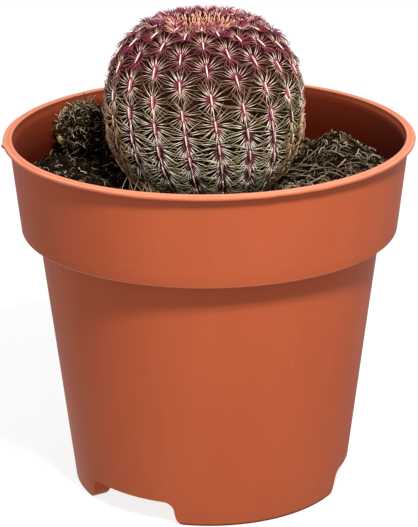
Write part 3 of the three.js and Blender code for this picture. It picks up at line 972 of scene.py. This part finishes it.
class CACTUS_OT_soil_fibres(bpy.types.Operator):
    """Lay curled fibres, long straws and a few pale rootlets over the soil"""
    bl_idname = "cactus.soil_fibres"
    bl_label = "Soil fibres"

    def execute(self, context):
        settings = context.scene.cactus_soil
        rng = random.Random(31)
        strands = Strands(3, FIBRE_STEPS)

        def top(x, y):
            return soil_top(x, y, settings)

        def above(x, y):
            return soil_level(x, y, settings.level / MM) + settings.roughness / MM * 0.5

        for _ in range(settings.fibres):
            start = bare_place(rng, settings, 1.0)
            length = 1.3 + 4.2 * rng.random() ** 1.6
            arch = rng.uniform(-0.2, 0.5) + 0.9 * rng.random() ** 4
            points = curl_path(rng, start, rng.uniform(0, 6.3), length, 0.7, top, arch)
            width = rng.uniform(0.18, 0.38)
            # Painted shade: fibres on the left half lean to darker tones, for the cactus's shadow on that
            # side
            tone = min(0.95, 0.04 + 0.94 * rng.random() ** (1.05 if start[0] > 0 else 2.5))
            strands.lay(points, fibre_widths(width), tone)
        for _ in range(settings.straws):
            start = (rng.uniform(15, 36), rng.uniform(-14, 8))
            heading = rng.gauss(-0.25, 0.75)
            points = curl_path(rng, start, heading, rng.uniform(4, 11), 0.2, above, 0.5)
            strands.lay(points, fibre_widths(rng.uniform(0.28, 0.52)), rng.uniform(0.45, 0.95))
        for _ in range(settings.rootlets):
            high = Vector((rng.uniform(-22, -15), rng.uniform(-15, -11), rng.uniform(84.5, 87.5)))
            low = high + Vector((rng.uniform(-3, 7), -rng.uniform(7, 13), 0))
            low.z = top(low.x, low.y) + 0.3
            arch = [Vector((0, 0, 0.9 * math.sin(math.pi * share))) for share in FIBRE_SHARES]
            points = [high.lerp(low, share) + rise for share, rise in zip(FIBRE_SHARES, arch)]
            strands.lay(points, fibre_widths(0.3), rng.uniform(0.5, 0.92))
        strands.finish("soil_fibres", peat_fibre())
        return {"FINISHED"}


def any_way(rng):
    """A random vector in the cube round the origin"""
    return Vector([rng.uniform(-1, 1) for _ in range(3)])


class CACTUS_OT_peat_clump(bpy.types.Operator):
    """Model the loose clump at the back left: a crumbly core with hooked fibres and grains on it, and
    the tuft of dry moss at its foot"""
    bl_idname = "cactus.peat_clump"
    bl_label = "Peat clump"

    def execute(self, context):
        settings = context.scene.cactus_soil
        middle = (Vector(CLUMP_LOW) + Vector(CLUMP_HIGH)) / 2 / MM
        reach = (CLUMP_HIGH[0] - CLUMP_LOW[0]) / 2 / MM - 0.4
        bm = bmesh.new()
        bmesh.ops.create_icosphere(bm, subdivisions=5, radius=1)
        for vert in bm.verts:
            vert.co = middle + vert.co * self.radius(vert.co, middle, reach)
        finish_piece("clump_core", mesh_from(bm), peat(settings.colour), node="peat_clump")

        rng = random.Random(41)
        strands = Strands(3, FIBRE_STEPS)
        places = []
        for _ in range(settings.clump_fibres):
            out = Vector([rng.gauss(0, 1) for _ in range(3)]).normalized()
            if out.z < -0.75:
                continue
            root = middle + out * (self.radius(out, middle, reach) - 0.2)
            points = self.hook(rng, root, out)
            tone = min(0.97, 0.2 + 0.78 * rng.random() ** 1.1)
            strands.lay(points, fibre_widths(rng.uniform(0.2, 0.38)), tone)
            if rng.random() < 0.35:
                places.append((root, rng.uniform(0.6, 1.6)))
        strands.finish("clump_fibres", peat_fibre())
        finish_piece("clump_grains", mesh_from(crumb_batch(places, 42)), peat(settings.colour))

        sprig = Strands(3, FIBRE_STEPS)
        for _ in range(MOSS_LEAVES):
            out = Vector((rng.uniform(-1.2, -0.85), -0.5, rng.uniform(-0.5, -0.26))).normalized()
            root = middle + out * (self.radius(out, middle, reach) + 0.7)
            ahead = (out + 0.8 * any_way(rng)).normalized()
            leaf = [root + ahead * (rng.uniform(1.0, 1.5) * share) for share in FIBRE_SHARES]
            sprig.lay(leaf, fibre_widths(0.7), 0.5)
        sprig.finish("moss_sprig", dry_moss())
        return {"FINISHED"}

    @staticmethod
    def radius(out, middle, reach):
        """Distance of the core's lumpy surface from its middle, in a direction"""
        place = middle + out * reach
        lump = noise.noise(place / 4.5) * 0.9
        return reach - 0.6 + lump + 0.9 * (crumbs(*place) - 0.3)

    @staticmethod
    def hook(rng, root, out):
        """A short fibre that leaves the clump and hooks over"""
        along = (out + 1.1 * any_way(rng)).normalized()
        turn_axis = along.cross(any_way(rng)).normalized()
        step = (1.3 + 2.9 * rng.random() ** 1.7) / FIBRE_STEPS
        turn = Matrix.Rotation(rng.uniform(0.1, 0.55), 3, turn_axis)
        points = [root]
        for _ in range(FIBRE_STEPS):
            points.append(points[-1] + along * step)
            along = (turn @ along - out * 0.06).normalized()
        return points


# Cactus


class CACTUS_OT_cactus_body(bpy.types.Operator):
    """Shape a sphere into the ribbed body with its areole bumps, sunken crown and rootstock"""
    bl_idname = "cactus.cactus_body"
    bl_label = "Cactus body"

    def execute(self, context):
        settings = context.scene.cactus_plant
        ribs = [areole_arcs(rib) for rib in range(RIBS)]
        middle = Vector((CACTUS_X, 0, BODY_MIDDLE))
        bm = bmesh.new()
        bmesh.ops.create_uvsphere(bm, u_segments=BODY_COLUMNS, v_segments=BODY_ROWS, radius=1)
        crest = bm.verts.layers.float.new("crest")
        for vert in bm.verts:
            x, y, z = vert.co
            arc = math.acos(max(-1.0, min(1.0, z))) / math.pi * OUTLINE_ARCS[-1]
            r, height = outline_at(arc)
            turns = math.atan2(x, -y) / (2 * math.pi) * RIBS
            rib = round(turns) % RIBS
            phase = turns - round(turns)
            furrow = (1 - math.cos(2 * math.pi * phase)) / 2
            ribbed = smoothstep(arc, 1, 9) * (1 - smoothstep(arc, BARE_BASE_ARC - 5, BARE_BASE_ARC))
            nearest = min((abs(arc - a) for a in ribs[rib]), default=9.0)
            bump = TUBERCLE * math.exp(-((nearest / 1.9) ** 2) - ((phase / 0.26) ** 2)) * ribbed
            r -= RIB_DEPTH * ribbed * furrow ** 0.8
            place = on_cactus(rib_direction(turns, arc), r, height)
            vert.co = place + (place - middle).normalized() * bump
            vert[crest] = 1 - furrow * ribbed
        bmesh.ops.recalc_face_normals(bm, faces=bm.faces[:])
        finish_piece("cactus_body", mesh_from(bm), cactus_skin(settings.skin), node="cactus")
        return {"FINISHED"}


def along_rib(rib, high, low, raise_by, steps):
    """Points down the crest of a rib between two arc lengths, raised off it"""
    points = []
    for i in range(steps + 1):
        arc = high + (low - high) * i / steps
        root, _, _, out = areole_frame(rib_direction(rib, arc), arc)
        points.append(root + out * raise_by)
    return points


def pad_length(arc):
    """Length of an areole's pad: short on the young crown and on the old base"""
    return AREOLE_LENGTH * (0.6 + 0.4 * smoothstep(arc, 6, 24)) * (1 - 0.35 * smoothstep(arc, 48, 60))


class CACTUS_OT_areole_felt(bpy.types.Operator):
    """Lay a narrow woolly pad on every areole, and a thinner strip between the old ones of a rib"""
    bl_idname = "cactus.areole_felt"
    bl_label = "Areole felt"

    def execute(self, context):
        steps = 4
        strands = Strands(4, steps)
        for rib in range(RIBS):
            last_end = 99.0
            for arc in areole_arcs(rib):
                half = pad_length(arc) / 2
                pad = along_rib(rib, arc - half, arc + half, TUBERCLE + PAD_RISE, steps)
                strands.lay(pad, [AREOLE_WIDTH * w for w in PAD_TAPER], 0.5)
                if arc - half > last_end and arc > FIRST_LINKED_ARC:
                    strip = along_rib(rib, last_end, arc - half, TUBERCLE + 0.1, steps)
                    strands.lay(strip, [AREOLE_WIDTH * 0.7] * (steps + 1), 0.5)
                last_end = arc + half
        strands.finish("areole_felt", areole_wool())
        return {"FINISHED"}


def spine_path(root, forward, out, lift, bend, length, sway):
    """Points of a spine that rises off the body and bends back along it"""
    sideways = out.cross(forward).normalized()
    points = [root]
    for i in range(SPINE_STEPS):
        share = (i + 0.5) / SPINE_STEPS
        tilt = lift - bend * share
        ahead = forward * math.cos(tilt) + out * math.sin(tilt) + sideways * (sway * share)
        points.append(points[-1] + ahead.normalized() * (length / SPINE_STEPS))
    return points


class CACTUS_OT_spine_combs(bpy.types.Operator):
    """Grow a comb of spines along both sides of every areole, and the cushion that they stand on"""
    bl_idname = "cactus.spine_combs"
    bl_label = "Spine combs"

    def execute(self, context):
        settings = context.scene.cactus_plant
        for name, high, low in SPINE_PIECES:
            rng = random.Random(name)
            strands = Strands(3, SPINE_STEPS)
            for rib in range(RIBS):
                for arc in areole_arcs(rib):
                    if high <= arc < low:
                        self.comb(rng, strands, rib, arc, settings)
            strands.finish(name, spine_sheath("horny_" + name))
        return {"FINISHED"}

    @staticmethod
    def comb(rng, strands, rib, arc, settings):
        """Lay all the spines of one areole, and its cushion"""
        direction = rib_direction(rib, arc)
        root, up, across, out = areole_frame(direction, arc)
        erect = 1 - smoothstep(arc, 10, 24)
        young = 1 - smoothstep(arc, 22, 34)
        old = smoothstep(arc, 30, 44)
        tone = tone_of(arc, direction, rng)
        pad = pad_length(arc)
        each_side = round(settings.spines / 2 * (1 + 0.25 * erect - 0.06 * old))
        for i in range(2 * each_side):
            side = -1 if i < each_side else 1
            share = (i % each_side + 0.5) / each_side
            theta = math.radians(50 * old + (180 - 65 * old) * share + rng.uniform(-6, 6))
            level, steep = math.sin(theta), math.cos(theta)
            # Painted light and shade: a spine reads lighter when it points up on the young rows and down on
            # the old ones, dimmer the other way
            lit = rng.random() + (0.9 * young - 0.5 * old) * steep
            start = root + out * (TUBERCLE * 0.6 - 0.25) + across * (side * 0.24 * level)
            start += up * (pad * (0.5 - share) * (0.85 + 0.65 * old))
            short = 0.76 - 0.2 * old
            length = settings.spine_length / MM * (short + (1 - short) * level) * rng.uniform(0.86, 1.08)
            length *= 0.86 + 0.1 * old - 0.34 * erect
            lift = math.radians(30 + 14 * erect + rng.uniform(-6, 6 + 10 * erect))
            bend = math.radians(60 - 34 * erect + rng.uniform(-8, 8))
            sway = rng.uniform(-0.16, 0.16) - side * DROOP * old * level
            forward = up * steep + across * (side * level)
            points = spine_path(start, forward, out, lift, bend, length, sway)
            width = settings.spine_width / MM * rng.uniform(0.88, 1.1) * (1 + 0.15 * erect)
            width *= 1 + 0.3 * smoothstep(tone, 0.75, 0.92)
            # Painted light: young spines that point up also read further along the ramps, where they are
            # lighter
            own_tone = tone + 0.08 * young * steep + rng.uniform(-0.03, 0.03)
            # Painted shade: a dim spine reads its ramps from further along; the flank spines, mostly on the
            # left, are dimmed less as painted light
            dimness = 0.45 * (1 - smoothstep(lit, 0.05 + 0.15 * young, 0.85 + 0.1 * young - 0.2 * old))
            dimness *= 1 - 0.65 * smoothstep(tone, 0.9, 0.95)
            strands.lay([keep_off_soil(point) for point in points], [width * w for w in SPINE_TAPER],
                        min(0.985, max(0.015, own_tone)), (dimness, 1))
        cushion = along_rib(rib, arc - pad / 2, arc + pad / 2, TUBERCLE - 0.1, SPINE_STEPS)
        strands.lay(cushion, [CUSHION_WIDTH * w for w in CUSHION_TAPER], min(0.985, tone), (0.17, 0.2))


def keep_off_soil(point):
    """The point of a spine, lifted where it would dive into the soil"""
    floor = soil_level(point.x, point.y, SOIL_LEVEL) + 0.2
    return Vector((point.x, point.y, max(point.z, floor)))


def tone_of(arc, direction, rng):
    """Where on the ramps an areole's spines read: young at the crown, old and tan low on the flanks,
    with painted light and shade by side: further to wine-red on the upper left flank than the right,
    and a paler tan on the low left flank than the right
    """
    tone = 0.13 + 0.15 * smoothstep(arc, 10, 17) + 0.2 * smoothstep(arc, 17, 30)
    tone += 0.12 * smoothstep(arc, 32, 42) + 0.12 * smoothstep(arc, 46, 56)
    flank = smoothstep(abs(math.sin(math.radians(direction))), 0.7, 1.0)
    left = direction % 360 > 180
    # Painted shade: the upper left flank reads further towards wine-red than the right, which the key light
    # reaches
    tone -= (0.12 if left else 0.03) * flank * smoothstep(arc, 14, 22) * (1 - smoothstep(arc, 28, 36))
    # Painted light: the low left flank reads a paler tan than the right, lifting the shade the key light
    # leaves there
    tone += ((0.96 if left else 0.9) - tone) * flank * smoothstep(arc, 30, 40)
    return tone + rng.uniform(-0.04, 0.04)


class CACTUS_OT_crown_tuft(bpy.types.Operator):
    """Stand a dense tuft of young spines on the crown"""
    bl_idname = "cactus.crown_tuft"
    bl_label = "Crown tuft"

    def execute(self, context):
        settings = context.scene.cactus_plant
        rng = random.Random(51)
        strands = Strands(4, SPINE_STEPS)
        for i in range(settings.crown_spines):
            arc = CROWN_TUFT_ARC * math.sqrt((i + 0.5) / settings.crown_spines)
            root, up, across, out = areole_frame(i * GOLDEN_ANGLE + rng.uniform(-8, 8), arc)
            lean = rng.uniform(-1.0, 0.0) * smoothstep(arc, 1, 7)
            forward = up * (lean + rng.uniform(-0.3, 0.3)) + across * rng.uniform(-0.5, 0.5)
            ahead = (out + forward).normalized()
            length = settings.crown_length / MM * rng.uniform(0.75, 1.12)
            length *= 1 + 0.25 * smoothstep(arc, 6, 10)
            points = spine_path(root - out * 0.4, ahead, ahead.orthogonal().normalized(), 0.0,
                                rng.uniform(-0.6, 0.6), length, rng.uniform(-0.3, 0.3))
            x = (root.x - PALE_TUFT_X) / PALE_TUFT_HALF_WIDTH
            y = (root.y - PALE_TUFT_Y) / PALE_TUFT_HALF_DEPTH
            ring = smoothstep(math.hypot(x, y) + rng.uniform(-0.12, 0.12), 0.85, 1.1)
            tone = 0.03 + ring * (0.12 - 0.08 * rng.random() ** 1.3)
            strands.lay(points, [YOUNG_SPINE_WIDTH * w for w in YOUNG_SPINE_TAPER], tone,
                        (0.5 * smoothstep(rng.random(), 0.35, 1), 1))
        strands.finish("crown_tuft", spine_sheath("horny_crown_tuft"))
        return {"FINISHED"}


# Stage


class CACTUS_OT_studio(bpy.types.Operator):
    """Set the pale card, the soft light and the camera"""
    bl_idname = "cactus.studio"
    bl_label = "Studio"

    def execute(self, context):
        settings = context.scene.cactus_stage
        scene = context.scene
        bm = bmesh.new()
        bmesh.ops.create_grid(bm, x_segments=1, y_segments=1, size=3)
        mesh = mesh_from(bm)
        mesh.materials.append(studio_card(settings.card, settings.card_glow))
        floor = link_object("studio_floor", mesh)
        floor.visible_diffuse = False
        floor.visible_glossy = False

        world = bpy.data.worlds.new("studio_air")
        world.use_nodes = True
        background = world.node_tree.nodes["Background"]
        background.inputs["Color"].default_value = linear("#ffffff")
        background.inputs["Strength"].default_value = settings.fill
        scene.world = world

        light = bpy.data.lights.new("key", "AREA")
        light.shape = "SQUARE"
        light.size = KEY_SIZE
        light.energy = settings.key
        light.color = linear("#fffaf4")[:3]
        rise = math.radians(KEY_ELEVATION)
        x, y = round_z(KEY_DIRECTION, math.cos(rise))
        away = Vector((x, y, math.sin(rise)))
        key = link_object("key", light)
        key.location = Vector((0, 0, KEY_AIM_HEIGHT)) + away * KEY_DISTANCE
        key.rotation_euler = away.to_track_quat("Z", "Y").to_euler()
        scene.view_settings.view_transform = "Standard"
        scene.view_settings.look = "None"

        lens = bpy.data.cameras.new("photo_camera")
        lens.sensor_width = 36
        lens.lens = settings.lens
        lens.shift_x = CAMERA_SHIFT
        lens.clip_start = 0.01
        camera = link_object("photo_camera", lens)
        camera.location = (0, -settings.camera_distance, settings.camera_height)
        tilt = Matrix.Rotation(settings.camera_tilt, 3, "X")
        roll = Matrix.Rotation(settings.camera_roll, 3, "Z")
        camera.rotation_euler = (tilt @ roll).to_euler()
        scene.camera = camera
        return {"FINISHED"}


# Panel and registration

PIECES = (
    CACTUS_OT_nursery_pot,
    CACTUS_OT_soil_bed,
    CACTUS_OT_soil_grains,
    CACTUS_OT_soil_fibres,
    CACTUS_OT_peat_clump,
    CACTUS_OT_cactus_body,
    CACTUS_OT_areole_felt,
    CACTUS_OT_spine_combs,
    CACTUS_OT_crown_tuft,
    CACTUS_OT_studio,
)

SETTINGS = {
    "cactus_pot": CactusPotSettings,
    "cactus_soil": CactusSoilSettings,
    "cactus_plant": CactusPlantSettings,
    "cactus_stage": CactusStageSettings,
}


class CACTUS_PT_sidebar(bpy.types.Panel):
    """Sizes and colours of the potted cactus, and a button for each piece"""
    bl_idname = "CACTUS_PT_sidebar"
    bl_label = "Potted round cactus"
    bl_space_type = "VIEW_3D"
    bl_region_type = "UI"
    bl_category = "Cactus"

    def draw(self, context):
        for name in SETTINGS:
            settings = getattr(context.scene, name)
            box = self.layout.box()
            for field in settings.bl_rna.properties.keys():
                if field not in {"rna_type", "name"}:
                    box.prop(settings, field)
        for piece in PIECES:
            self.layout.operator(piece.bl_idname)


def register():
    for name, settings in SETTINGS.items():
        bpy.utils.register_class(settings)
        setattr(bpy.types.Scene, name, PointerProperty(type=settings))
    for piece in PIECES:
        bpy.utils.register_class(piece)
    bpy.utils.register_class(CACTUS_PT_sidebar)


def unregister():
    bpy.utils.unregister_class(CACTUS_PT_sidebar)
    for piece in reversed(PIECES):
        bpy.utils.unregister_class(piece)
    for name, settings in SETTINGS.items():
        delattr(bpy.types.Scene, name)
        bpy.utils.unregister_class(settings)


def main():
    register()
    for piece in PIECES:
        group, action = piece.bl_idname.split(".")
        getattr(getattr(bpy.ops, group), action)()
    bpy.context.view_layer.update()


if __name__ == "__main__":
    main()
